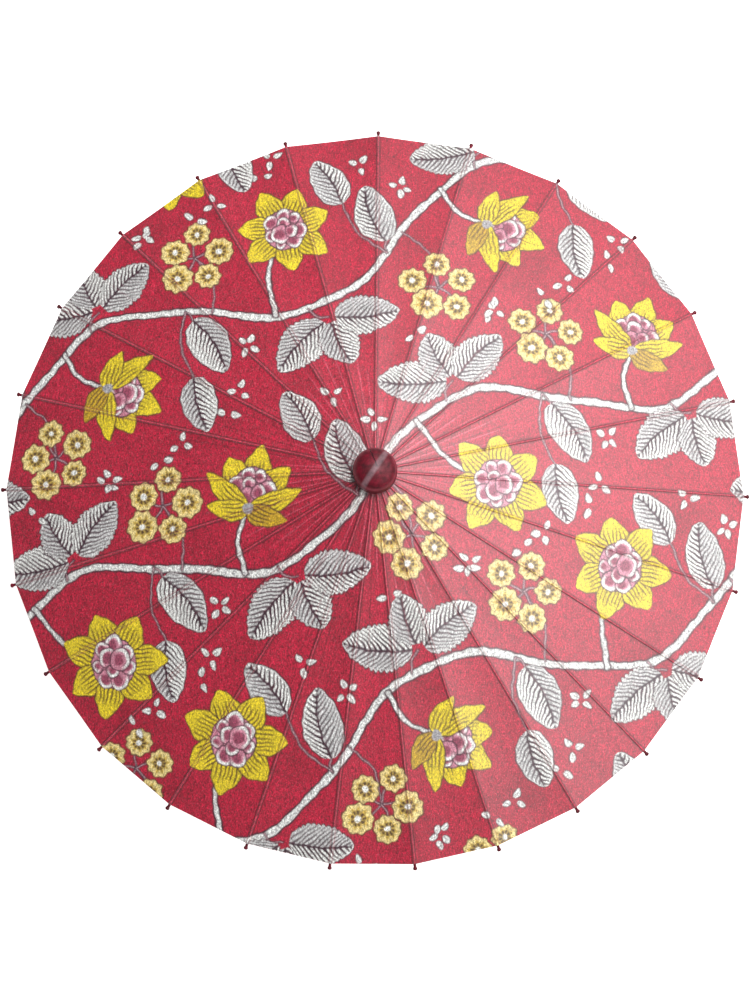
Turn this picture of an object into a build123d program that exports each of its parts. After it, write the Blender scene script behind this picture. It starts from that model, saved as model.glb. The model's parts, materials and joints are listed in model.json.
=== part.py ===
from build123d import *
import math
import os

os.makedirs("parts", exist_ok=True)

# Oil paper umbrella, shown open. Millimetres and degrees, Z up.
# The origin is the middle of the hand grip, on the shaft axis.

# Rib fan
RIB_COUNT = 25
FIRST_AZIMUTH = 89.0
DRIFT_ONE = 3.7
DRIFT_TWO = 1.15
OPEN_ANGLE = 68.0
HEAD_Z = 482.0
PIVOT_R = 14.0
WIRE_R = 0.5
WIRE_GROOVE_R = 0.6
EYE_R = 0.75

# Rib bar, measured along (u) and across (v) its own length
RIB_W = 2.6
RIB_HALF = 2.2
RIB_END_U = 436.4
RIB_TAPER_U = 380.0
RIB_TIP_HALF = 0.9
RIB_BEAD_R = 1.7
TENON_W = 1.3
TENON_U = 14.0
LUG_U = 170.0
LUG_HALF_LEN = 7.0
LUG_V = -4.4
LUG_BOTTOM_V = -6.4
LUG_SLIT_W = 1.5
LUG_PIN_R = 0.5

# Stretcher bar
STRETCHER_W = 2.6
STRETCHER_HALF = 2.0
TONGUE_W = 1.2
INNER_TONGUE = 34.0
OUTER_TONGUE = 14.0

# Head, wooden cap and shaft
HEAD_R = 18.0
HEAD_BELOW = 8.0
HEAD_ABOVE = 10.0
SLOT_W = 1.7
SLOT_ROOT_R = 11.3
CAP_R = 23.5
CAP_TOP = 28.0
DOME_R = ((CAP_R - 8) ** 2 + 3**2) / (2 * 3)
CAP_GAP = 0.3
SHAFT_R = 6.5
SHAFT_TOP = 18.0
GLUE_GAP = 0.05

# Runner
RUNNER_R = 18.0
RUNNER_HALF = 5.0
SLEEVE_R = 11.0
SLEEVE_BELOW = 60.0
SLEEVE_ABOVE = 9.0
RUNNER_BORE = 6.8

# Handle
GRIP_R = 9.5
GRIP_HALF = 48.0
SOCKET_DEPTH = 92.0

# Catch
CATCH_W = 2.4
CATCH_SLOT_W = 3.0
CATCH_PIVOT_Z = 250.0
CATCH_PIN_R = 1.0
CATCH_TIP_R = 10.0

# Paper
PAPER_INNER_R = 19.0
PAPER_OUTER_R = 414.0
PAPER_THICK = 0.4
PAPER_GAP = 0.15


def azimuth(i):
    """Direction of rib i; the hand-set ribs drift a little from even spacing."""
    even = FIRST_AZIMUTH - 360.0 / RIB_COUNT * i
    turn = math.radians(even)
    return even + 0.5 - DRIFT_ONE * math.cos(turn) + DRIFT_TWO * math.sin(2 * turn)


def side_plane(az):
    """Upright plane through the axis: x runs outward, y runs up."""
    turn = math.radians(az)
    return Plane(
        origin=(0, 0, 0),
        x_dir=(math.cos(turn), math.sin(turn), 0),
        z_dir=(math.sin(turn), -math.cos(turn), 0),
    )


LEAN = math.radians(OPEN_ANGLE)
AZIMUTHS = [azimuth(i) for i in range(RIB_COUNT)]


def on_rib(u, v):
    """Radius and height of the point u along and v across an open rib."""
    radius = PIVOT_R + u * math.sin(LEAN) + v * math.cos(LEAN)
    return (radius, HEAD_Z - u * math.cos(LEAN) + v * math.sin(LEAN))


# The head pivot, the rib pin and the runner pivot make an isosceles triangle.
PIN_R, PIN_Z = on_rib(LUG_U, LUG_V)
RUNNER_Z = 2 * PIN_Z - HEAD_Z
ARM = math.hypot(PIN_R - PIVOT_R, PIN_Z - RUNNER_Z)
ARM_RISE = math.degrees(math.atan2(PIN_Z - RUNNER_Z, PIN_R - PIVOT_R))


# Bamboo shaft with the slot that takes the catch
with BuildPart() as shaft:
    with Locations((0, 0, -GRIP_HALF + 4)):
        Cylinder(
            SHAFT_R,
            HEAD_Z + SHAFT_TOP + GRIP_HALF - 4,
            align=(Align.CENTER, Align.CENTER, Align.MIN),
        )
    chamfer(shaft.faces().sort_by(Axis.Z)[-1].edges(), 0.6)
    with BuildSketch(Plane.YZ):
        with Locations((-2.25, 266)):
            Rectangle(9.5, 46)
    extrude(amount=CATCH_SLOT_W / 2, both=True, mode=Mode.SUBTRACT)
    with BuildSketch(Plane.YZ):
        with Locations((-2.6, CATCH_PIVOT_Z)):
            Circle(CATCH_PIN_R + 0.05)
    extrude(amount=SHAFT_R, both=True, mode=Mode.SUBTRACT)
    with BuildSketch(Plane.XY.offset(180)):
        Circle(SHAFT_R + 1)
        Circle(SHAFT_R - 0.25, mode=Mode.SUBTRACT)
    extrude(amount=0.8, mode=Mode.SUBTRACT)
    with BuildSketch(Plane.XY.offset(90)):
        Circle(SHAFT_R + 1)
        Circle(SHAFT_R - 0.25, mode=Mode.SUBTRACT)
    extrude(amount=0.8, mode=Mode.SUBTRACT)
shaft.part.label = "shaft"
export_step(shaft.part, "parts/shaft.step")


# Turned handle: plain grip in the middle, ringed collar above, rounded foot
with BuildPart() as handle:
    with BuildSketch(Plane.XZ):
        with BuildLine():
            Polyline(
                (SHAFT_R + GLUE_GAP, GRIP_HALF),
                (8.0, GRIP_HALF),
                (8.6, GRIP_HALF - 1.2),
                (8.6, GRIP_HALF - 4.4),
                (7.8, GRIP_HALF - 5.4),
                (7.8, GRIP_HALF - 6.6),
                (9.1, GRIP_HALF - 8.0),
                (9.1, GRIP_HALF - 11.5),
                (8.3, GRIP_HALF - 12.5),
                (8.3, GRIP_HALF - 13.5),
                (GRIP_R, GRIP_HALF - 15.5),
                (GRIP_R, -GRIP_HALF + 3),
            )
            RadiusArc((GRIP_R, -GRIP_HALF + 3), (GRIP_R - 3, -GRIP_HALF), 3)
            Polyline(
                (GRIP_R - 3, -GRIP_HALF),
                (0, -GRIP_HALF),
                (0, -GRIP_HALF + 3.9),
                (SHAFT_R + GLUE_GAP, -GRIP_HALF + 3.9),
                (SHAFT_R + GLUE_GAP, GRIP_HALF),
            )
        make_face()
    revolve(axis=Axis.Z)
handle.part.label = "handle"
export_step(handle.part, "parts/handle.step")


# Slotted wooden head, fixed on the shaft
with BuildPart() as head:
    with BuildSketch(Plane.XZ):
        with BuildLine():
            Polyline(
                (SHAFT_R + GLUE_GAP, HEAD_Z - HEAD_BELOW - 14),
                (SHAFT_R + 2.5, HEAD_Z - HEAD_BELOW - 14),
                (SHAFT_R + 3.5, HEAD_Z - HEAD_BELOW - 12),
                (SHAFT_R + 3.5, HEAD_Z - HEAD_BELOW),
                (HEAD_R - 1, HEAD_Z - HEAD_BELOW),
                (HEAD_R, HEAD_Z - HEAD_BELOW + 1),
                (HEAD_R, HEAD_Z + HEAD_ABOVE - 1),
                (HEAD_R - 1, HEAD_Z + HEAD_ABOVE),
                (SHAFT_R + GLUE_GAP, HEAD_Z + HEAD_ABOVE),
                close=True,
            )
        make_face()
    revolve(axis=Axis.Z)
    with BuildSketch(Plane.XY.offset(HEAD_Z - HEAD_BELOW - 1)):
        for az in AZIMUTHS:
            turn = math.radians(az)
            mid = SLOT_ROOT_R + 5
            with Locations(Location((mid * math.cos(turn), mid * math.sin(turn), 0), (0, 0, az))):
                Rectangle(10, SLOT_W)
    extrude(amount=HEAD_BELOW + 1 + 3.6, mode=Mode.SUBTRACT)
    with Locations((0, 0, HEAD_Z)):
        Torus(PIVOT_R, WIRE_GROOVE_R, mode=Mode.SUBTRACT)
head.part.label = "head"
export_step(head.part, "parts/head.step")


# One wire ring threads all the rib eyes in the head
with BuildPart() as head_tie_wire:
    with Locations((0, 0, HEAD_Z)):
        Torus(PIVOT_R, WIRE_R)
head_tie_wire.part.label = "head_tie_wire"
export_step(head_tie_wire.part, "parts/head_tie_wire.step")


# Turned cap over the head; its skirt slopes with the paper
with BuildPart() as top_cap:
    with BuildSketch(Plane.XZ):
        with BuildLine():
            Polyline(
                (0, HEAD_Z + SHAFT_TOP + CAP_GAP),
                (SHAFT_R + CAP_GAP, HEAD_Z + SHAFT_TOP + CAP_GAP),
                (SHAFT_R + CAP_GAP, HEAD_Z + HEAD_ABOVE + CAP_GAP),
                (HEAD_R + CAP_GAP, HEAD_Z + HEAD_ABOVE + CAP_GAP),
                (HEAD_R + CAP_GAP, HEAD_Z + 1.6),
                (CAP_R - 0.5, HEAD_Z - 0.3),
                (CAP_R, HEAD_Z + 0.4),
                (CAP_R, HEAD_Z + 14),
            )
            ThreePointArc(
                (CAP_R, HEAD_Z + 14),
                (CAP_R - 2.2, HEAD_Z + 20.5),
                (CAP_R - 8, HEAD_Z + 25),
            )
            ThreePointArc(
                (CAP_R - 8, HEAD_Z + 25),
                (8, HEAD_Z + CAP_TOP - DOME_R + math.sqrt(DOME_R**2 - 8**2)),
                (0, HEAD_Z + CAP_TOP),
            )
            Line((0, HEAD_Z + CAP_TOP), (0, HEAD_Z + SHAFT_TOP + CAP_GAP))
        make_face()
    revolve(axis=Axis.Z)
top_cap.part.label = "top_cap"
export_step(top_cap.part, "parts/top_cap.step")


# Toothed runner that slides on the shaft; its slots go right through the rim
with BuildPart() as runner:
    with BuildSketch(Plane.XZ):
        with BuildLine():
            Polyline(
                (RUNNER_BORE, RUNNER_Z - SLEEVE_BELOW),
                (SLEEVE_R - 0.8, RUNNER_Z - SLEEVE_BELOW),
                (SLEEVE_R, RUNNER_Z - SLEEVE_BELOW + 0.8),
                (SLEEVE_R, RUNNER_Z - SLEEVE_BELOW + 8),
                (SLEEVE_R - 0.8, RUNNER_Z - SLEEVE_BELOW + 9),
                (SLEEVE_R - 0.8, RUNNER_Z - SLEEVE_BELOW + 11),
                (SLEEVE_R, RUNNER_Z - SLEEVE_BELOW + 12),
                (SLEEVE_R, RUNNER_Z - RUNNER_HALF),
                (RUNNER_R - 0.8, RUNNER_Z - RUNNER_HALF),
                (RUNNER_R, RUNNER_Z - RUNNER_HALF + 0.8),
                (RUNNER_R, RUNNER_Z + RUNNER_HALF - 0.8),
                (RUNNER_R - 0.8, RUNNER_Z + RUNNER_HALF),
                (SLEEVE_R, RUNNER_Z + RUNNER_HALF),
                (SLEEVE_R, RUNNER_Z + SLEEVE_ABOVE - 0.8),
                (SLEEVE_R - 0.8, RUNNER_Z + SLEEVE_ABOVE),
                (RUNNER_BORE, RUNNER_Z + SLEEVE_ABOVE),
                close=True,
            )
        make_face()
    revolve(axis=Axis.Z)
    with BuildSketch(Plane.XY.offset(RUNNER_Z - RUNNER_HALF - 1)):
        for az in AZIMUTHS:
            turn = math.radians(az)
            mid = SLOT_ROOT_R + 5
            with Locations(Location((mid * math.cos(turn), mid * math.sin(turn), 0), (0, 0, az))):
                Rectangle(10, SLOT_W)
    extrude(amount=2 * RUNNER_HALF + 2, mode=Mode.SUBTRACT)
    with Locations((0, 0, RUNNER_Z)):
        Torus(PIVOT_R, WIRE_GROOVE_R, mode=Mode.SUBTRACT)
runner.part.label = "runner"
export_step(runner.part, "parts/runner.step")


# Tie wire of the runner, kept as the lengths that sit inside the teeth
with BuildPart() as runner_tie_wire:
    with Locations((0, 0, RUNNER_Z)):
        Torus(PIVOT_R, WIRE_R)
    with BuildSketch(Plane.XY.offset(RUNNER_Z - 1)):
        for az in AZIMUTHS:
            turn = math.radians(az)
            mid = SLOT_ROOT_R + 5
            with Locations(Location((mid * math.cos(turn), mid * math.sin(turn), 0), (0, 0, az))):
                Rectangle(10, SLOT_W)
    extrude(amount=2, mode=Mode.SUBTRACT)
runner_tie_wire.part.label = "runner_tie_wire"
export_step(runner_tie_wire.part, "parts/runner_tie_wire.step")


# Springy catch let into the shaft: its tip stands under the open runner
with BuildPart() as catch:
    with BuildSketch(Plane.YZ):
        with BuildLine():
            Polyline(
                (-1.4, CATCH_PIVOT_Z - 4.5),
                (-4.2, CATCH_PIVOT_Z - 4.5),
                (-5.4, CATCH_PIVOT_Z - 3.0),
                (-5.4, CATCH_PIVOT_Z + 6.0),
                (-CATCH_TIP_R, CATCH_PIVOT_Z + 32.0),
                (-CATCH_TIP_R, RUNNER_Z - SLEEVE_BELOW - 0.5),
                (-3.6, RUNNER_Z - SLEEVE_BELOW - 0.5),
                (-3.2, CATCH_PIVOT_Z + 30.0),
                (-1.4, CATCH_PIVOT_Z + 4.0),
                close=True,
            )
        make_face()
        with Locations((-2.6, CATCH_PIVOT_Z)):
            Circle(CATCH_PIN_R + 0.1, mode=Mode.SUBTRACT)
    extrude(amount=CATCH_W / 2, both=True)
catch.part.label = "catch"
export_step(catch.part, "parts/catch.step")


# Pin across the shaft that the catch turns on
with BuildPart() as catch_pin:
    with BuildSketch(Plane.YZ):
        with Locations((-2.6, CATCH_PIVOT_Z)):
            Circle(CATCH_PIN_R)
    extrude(amount=5.8, both=True)
catch_pin.part.label = "catch_pin"
export_step(catch_pin.part, "parts/catch_pin.step")


# Twenty-five bamboo ribs, each with a pin through its slit lug
for i, az in enumerate(AZIMUTHS):
    plane = side_plane(az)
    with BuildPart() as rib:
        with BuildSketch(plane):
            with BuildLine():
                Polyline(
                    on_rib(0, RIB_HALF),
                    on_rib(RIB_TAPER_U, RIB_HALF),
                    on_rib(RIB_END_U, RIB_HALF - 0.6),
                    on_rib(RIB_END_U, RIB_HALF - 0.6 - 2 * RIB_TIP_HALF),
                    on_rib(RIB_TAPER_U, -RIB_HALF),
                    on_rib(LUG_U + LUG_HALF_LEN + 6, -RIB_HALF),
                    on_rib(LUG_U + LUG_HALF_LEN - 2, LUG_BOTTOM_V),
                    on_rib(LUG_U - LUG_HALF_LEN + 2, LUG_BOTTOM_V),
                    on_rib(LUG_U - LUG_HALF_LEN - 6, -RIB_HALF),
                    on_rib(0, -RIB_HALF),
                )
                ThreePointArc(
                    on_rib(0, -RIB_HALF), on_rib(-RIB_HALF, 0), on_rib(0, RIB_HALF)
                )
            make_face()
            with Locations(on_rib(RIB_END_U, RIB_HALF - 0.6 - RIB_TIP_HALF)):
                Circle(RIB_BEAD_R)
            with Locations(on_rib(0, 0)):
                Circle(EYE_R, mode=Mode.SUBTRACT)
        extrude(amount=RIB_W / 2, both=True)
        with BuildSketch(plane):
            with BuildLine():
                Polyline(
                    on_rib(-3, 3),
                    on_rib(TENON_U, 3),
                    on_rib(TENON_U, -3),
                    on_rib(-3, -3),
                    close=True,
                )
            make_face()
        extrude(amount=RIB_W, both=True, mode=Mode.SUBTRACT)
        with BuildSketch(plane):
            with BuildLine():
                Polyline(
                    on_rib(0, RIB_HALF),
                    on_rib(TENON_U + 0.4, RIB_HALF),
                    on_rib(TENON_U + 0.4, -RIB_HALF),
                    on_rib(0, -RIB_HALF),
                )
                ThreePointArc(
                    on_rib(0, -RIB_HALF), on_rib(-RIB_HALF, 0), on_rib(0, RIB_HALF)
                )
            make_face()
            with Locations(on_rib(0, 0)):
                Circle(EYE_R, mode=Mode.SUBTRACT)
        extrude(amount=TENON_W / 2, both=True)
        with BuildSketch(plane):
            with BuildLine():
                Polyline(
                    on_rib(LUG_U - 16, -RIB_HALF + 0.1),
                    on_rib(LUG_U + 16, -RIB_HALF + 0.1),
                    on_rib(LUG_U + 16, LUG_BOTTOM_V - 1),
                    on_rib(LUG_U - 16, LUG_BOTTOM_V - 1),
                    close=True,
                )
            make_face()
        extrude(amount=LUG_SLIT_W / 2, both=True, mode=Mode.SUBTRACT)
        with BuildSketch(plane):
            with Locations(on_rib(LUG_U, LUG_V)):
                Circle(LUG_PIN_R + 0.02)
        extrude(amount=RIB_W, both=True, mode=Mode.SUBTRACT)
        with BuildSketch(plane):
            with Locations(on_rib(LUG_U, LUG_V)):
                Circle(LUG_PIN_R)
        extrude(amount=RIB_W / 2, both=True, mode=Mode.ADD)
    rib.part.label = f"rib_{i + 1:02d}"
    export_step(rib.part, f"parts/rib_{i + 1:02d}.step")


# Twenty-five stretchers, thin-tongued at both ends
for i, az in enumerate(AZIMUTHS):
    plane = side_plane(az)
    middle = ((PIN_R + PIVOT_R) / 2, (PIN_Z + RUNNER_Z) / 2)
    body_len = ARM - INNER_TONGUE - OUTER_TONGUE
    slide = INNER_TONGUE + body_len / 2 - ARM / 2
    rise = math.radians(ARM_RISE)
    body_at = (middle[0] + slide * math.cos(rise), middle[1] + slide * math.sin(rise))
    with BuildPart() as stretcher:
        with BuildSketch(plane):
            with Locations(Location((*middle, 0), (0, 0, ARM_RISE))):
                SlotCenterToCenter(ARM, 2 * STRETCHER_HALF)
            with Locations((PIVOT_R, RUNNER_Z), (PIN_R, PIN_Z)):
                Circle(EYE_R, mode=Mode.SUBTRACT)
        extrude(amount=TONGUE_W / 2, both=True)
        with BuildSketch(plane):
            with Locations(Location((*body_at, 0), (0, 0, ARM_RISE))):
                Rectangle(body_len, 2 * STRETCHER_HALF)
        extrude(amount=STRETCHER_W / 2, both=True)
    stretcher.part.label = f"stretcher_{i + 1:02d}"
    export_step(stretcher.part, f"parts/stretcher_{i + 1:02d}.step")


# Paper canopy: one many-sided shell of flat panels, one panel between ribs
SLOPE = 1 / math.tan(LEAN)
PAPER_Z = HEAD_Z + RIB_HALF / math.sin(LEAN) + PAPER_GAP


def paper_point(az, radius):
    turn = math.radians(az)
    height = PAPER_Z - (radius - PIVOT_R) * SLOPE
    return Vector(radius * math.cos(turn), radius * math.sin(turn), height)


with BuildPart() as canopy:
    for i in range(RIB_COUNT):
        az_a, az_b = AZIMUTHS[i], AZIMUTHS[(i + 1) % RIB_COUNT]
        inner_a, inner_b = paper_point(az_a, PAPER_INNER_R), paper_point(az_b, PAPER_INNER_R)
        outer_a, outer_b = paper_point(az_a, PAPER_OUTER_R), paper_point(az_b, PAPER_OUTER_R)
        across = (outer_b - outer_a).normalized()
        normal = across.cross(inner_a - outer_a).normalized()
        panel_plane = Plane(origin=outer_a, x_dir=across, z_dir=normal)
        corners = [panel_plane.to_local_coords(p) for p in (outer_a, outer_b, inner_b, inner_a)]
        with BuildSketch(panel_plane):
            with BuildLine():
                Polyline([(p.X, p.Y) for p in corners], close=True)
            make_face()
        extrude(amount=PAPER_THICK, dir=(0, 0, 1))
canopy.part.label = "canopy"
export_step(canopy.part, "parts/canopy.step")
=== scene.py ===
import json
import math

import bpy
import numpy as np
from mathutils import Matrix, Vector


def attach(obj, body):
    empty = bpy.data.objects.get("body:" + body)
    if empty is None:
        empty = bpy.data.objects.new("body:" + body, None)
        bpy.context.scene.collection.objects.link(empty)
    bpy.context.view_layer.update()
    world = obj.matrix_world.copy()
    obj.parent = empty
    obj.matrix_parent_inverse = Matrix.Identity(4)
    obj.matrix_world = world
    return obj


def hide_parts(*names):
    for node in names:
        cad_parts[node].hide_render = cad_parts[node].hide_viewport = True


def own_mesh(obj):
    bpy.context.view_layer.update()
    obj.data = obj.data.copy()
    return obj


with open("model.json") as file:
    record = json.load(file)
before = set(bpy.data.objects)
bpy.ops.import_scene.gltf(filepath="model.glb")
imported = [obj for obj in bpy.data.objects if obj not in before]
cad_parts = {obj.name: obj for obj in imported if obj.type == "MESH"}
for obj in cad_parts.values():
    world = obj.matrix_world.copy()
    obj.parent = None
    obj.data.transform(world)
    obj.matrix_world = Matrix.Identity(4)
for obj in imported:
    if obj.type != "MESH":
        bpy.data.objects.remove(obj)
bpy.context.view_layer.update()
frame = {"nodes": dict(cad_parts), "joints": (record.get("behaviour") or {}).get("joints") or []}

MM = 0.001
# Measures shared with the CAD: the rib count, the ribs' lean when open, and the rest in millimetres
RIBS = 25
HEAD_Z = 482.0
PIVOT_R = 14.0
LEAN = math.radians(68.0)
SLOPE = 1 / math.tan(LEAN)
RIB_HALF = 2.2
RIB_END_DROP, RIB_END_HALF = 0.6, 0.9
PAPER_IN = 19.0
PAPER_OUT = 414.0
PAPER_GAP = 0.15
# Heights worked out from them, and half the width of the paper strip glued over each rib
PAPER_Z = HEAD_Z + RIB_HALF / math.sin(LEAN) + PAPER_GAP
RIM_Z = PAPER_Z - (PAPER_OUT - PIVOT_R) * SLOPE
CAP_SHOULDER_Z = HEAD_Z + 17.0
STRIP_HALF = 1.45
# The print is a repeat of the builder's own design, laid out in millimetres of plan x and y. In each band a
# branch runs along as a wave, and each half wave carries the same motifs: three leaves outside its crest,
# a large flower and two leaves in its hollow, and a cluster of round blossoms where the branch crosses over.
BAND = 250.0
HALF_WAVE = 232.0
WAVE_HEIGHT = 46.0
BRANCH_WIDTH = 7.2
BAND_LEAN = math.radians(24.0)
BAND_SHIFT = 0.62 * HALF_WAVE
BANDS = range(-2, 3)
HALF_WAVES = range(-4, 5)
FLOWER_RADIUS = 58.0
CLUSTER_REACH = 28.0
# the middle band's branch crosses the axis in about this direction
BRANCH_TURN = BAND_LEAN + math.atan(math.pi * WAVE_HEIGHT / HALF_WAVE)
# The camera looks almost straight down at the middle of the rim, from a little towards -Y
EYE_RISE, EYE_DISTANCE, EYE_SHIFT = 82.0, 2650.0, -7.6


def linear(r, g, b):
    """Screen colour, 0 to 255, as the linear colour a shader works in."""
    c = np.array([r, g, b], float) / 255
    return np.where(c <= 0.04045, c / 12.92, ((c + 0.055) / 1.055) ** 2.4)


def rgba(r, g, b):
    return (*linear(r, g, b).tolist(), 1.0)


# ---------------------------------------------------------------- node help
def new_material(name):
    m = bpy.data.materials.new(name)
    m.use_nodes = True
    m.node_tree.nodes.clear()
    return m


class Nodes:
    """Short names for building one material."""

    def __init__(self, name):
        self.material = new_material(name)
        self.tree = self.material.node_tree
        self.shader = self.add("ShaderNodeBsdfPrincipled")
        out = self.add("ShaderNodeOutputMaterial")
        self.join(self.shader.outputs[0], out.inputs["Surface"])

    def add(self, kind, **settings):
        n = self.tree.nodes.new(kind)
        for k, v in settings.items():
            setattr(n, k, v)
        return n

    def join(self, a, b):
        self.tree.links.new(a, b)

    def put(self, socket, value):
        if hasattr(value, "is_linked"):
            self.join(value, socket)
        else:
            socket.default_value = value

    def math(self, op, a, b=None, c=None):
        n = self.add("ShaderNodeMath", operation=op)
        for i, v in enumerate((a, b, c)):
            if v is not None:
                self.put(n.inputs[i], v)
        return n.outputs[0]

    def vector(self, op, a, b):
        n = self.add("ShaderNodeVectorMath", operation=op)
        self.put(n.inputs[0], a)
        self.put(n.inputs[1], b)
        return n.outputs["Vector"]

    def xyz(self, v):
        n = self.add("ShaderNodeSeparateXYZ")
        self.join(v, n.inputs[0])
        return n.outputs

    def combine(self, x, y, z):
        n = self.add("ShaderNodeCombineXYZ")
        for i, v in enumerate((x, y, z)):
            self.put(n.inputs[i], v)
        return n.outputs[0]

    def noise(self, at, scale, detail=3.0, rough=0.55, distortion=0.0):
        n = self.add("ShaderNodeTexNoise")
        self.join(at, n.inputs["Vector"])
        n.inputs["Scale"].default_value = scale
        n.inputs["Detail"].default_value = detail
        n.inputs["Roughness"].default_value = rough
        n.inputs["Distortion"].default_value = distortion
        return n.outputs["Fac"]

    def ramp(self, fac, *stops):
        n = self.add("ShaderNodeValToRGB")
        self.join(fac, n.inputs[0])
        r = n.color_ramp
        while len(r.elements) < len(stops):
            r.elements.new(0.5)
        for e, (at, colour) in zip(r.elements, stops):
            e.position = at
            e.color = colour
        return n.outputs[0]

    def grey(self, fac, lo, hi, at=(0.3, 0.7)):
        n = self.add("ShaderNodeMapRange")
        self.join(fac, n.inputs[0])
        n.inputs[1].default_value, n.inputs[2].default_value = at
        n.inputs[3].default_value, n.inputs[4].default_value = lo, hi
        return n.outputs[0]

    def mix(self, fac, a, b, blend="MIX"):
        n = self.add("ShaderNodeMix", data_type="RGBA", blend_type=blend)
        self.put(n.inputs[0], fac)
        self.put(n.inputs[6], a)
        self.put(n.inputs[7], b)
        return n.outputs[2]

    def bump(self, height, distance, strength=1.0, normal=None):
        n = self.add("ShaderNodeBump")
        self.join(height, n.inputs["Height"])
        n.inputs["Distance"].default_value = distance
        n.inputs["Strength"].default_value = strength
        if normal is not None:
            self.join(normal, n.inputs["Normal"])
        return n.outputs[0]

    def set(self, name, value):
        self.put(self.shader.inputs[name], value)


# ---------------------------------------------------------------- materials
def object_place(k):
    return k.add("ShaderNodeTexCoord").outputs["Object"]


def wood(name, dark, mid, light, along, across, rough=(0.35, 0.6), coat=0.0, depth=0.00008):
    """Grain that runs up and down: stretched noise, fine pores, soft colour drift."""
    k = Nodes(name)
    place = object_place(k)
    long_way = k.vector("MULTIPLY", place, (across, across, along))
    grain = k.noise(long_way, 1.0, 6.0, 0.6, 0.4)
    fine = k.noise(long_way, 4.0, 4.0, 0.6)
    drift = k.noise(place, 25.0, 2.0)
    both = k.math("MULTIPLY_ADD", fine, 0.35, k.math("MULTIPLY", grain, 0.65))
    colour = k.ramp(both, (0.32, dark), (0.5, mid), (0.68, light))
    colour = k.mix(k.grey(drift, 0.0, 0.35), colour, k.mix(0.6, colour, dark))
    k.set("Base Color", colour)
    k.set("Roughness", k.grey(both, rough[1], rough[0]))
    k.set("Normal", k.bump(both, depth))
    if coat:
        k.set("Coat Weight", coat)
        k.set("Coat Roughness", 0.25)
    return k


def split_bamboo(name):
    """Ribs and stretchers: pale strips with grain along each strip, joints, dark red tips."""
    k = Nodes(name)
    place = object_place(k)
    x, y, z = k.xyz(place)
    out = k.math("SQRT", k.math("ADD", k.math("MULTIPLY", x, x), k.math("MULTIPLY", y, y)))
    turn = k.math("ARCTAN2", y, x)
    strip = k.combine(
        k.math("MULTIPLY", out, 22.0), k.math("MULTIPLY", turn, 60.0), k.math("MULTIPLY", z, 500.0)
    )
    grain = k.noise(strip, 1.0, 5.0, 0.6, 0.3)
    own = k.noise(k.combine(k.math("MULTIPLY", turn, 3.0), 0.0, 0.0), 2.3, 1.0)
    colour = k.ramp(grain, (0.3, rgba(150, 108, 58)), (0.5, rgba(196, 156, 96)), (0.7, rgba(222, 190, 132)))
    colour = k.mix(k.grey(own, 0.0, 0.45), colour, rgba(176, 126, 72), "MULTIPLY")
    node_at = k.math("ABSOLUTE", k.math("SUBTRACT", out, k.math("MULTIPLY_ADD", own, 0.06, 0.29)))
    ring = k.grey(node_at, 1.0, 0.0, (0.0004, 0.0016))
    colour = k.mix(k.math("MULTIPLY", ring, 0.55), colour, rgba(96, 62, 30))
    tip = k.grey(out, 0.0, 1.0, (0.4118, 0.4126))
    colour = k.mix(tip, colour, rgba(126, 14, 34))
    k.set("Base Color", colour)
    k.set("Roughness", k.grey(grain, 0.6, 0.42))
    k.set("Normal", k.bump(k.math("ADD", grain, k.math("MULTIPLY", ring, 1.5)), 0.00008))
    return k


def wire(name):
    k = Nodes(name)
    place = object_place(k)
    spots = k.noise(place, 900.0, 3.0)
    k.set("Base Color", k.ramp(spots, (0.35, rgba(96, 84, 72)), (0.65, rgba(168, 160, 150))))
    k.set("Metallic", 1.0)
    k.set("Roughness", k.grey(spots, 0.55, 0.3))
    k.set("Normal", k.bump(spots, 0.00002))
    return k


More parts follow.
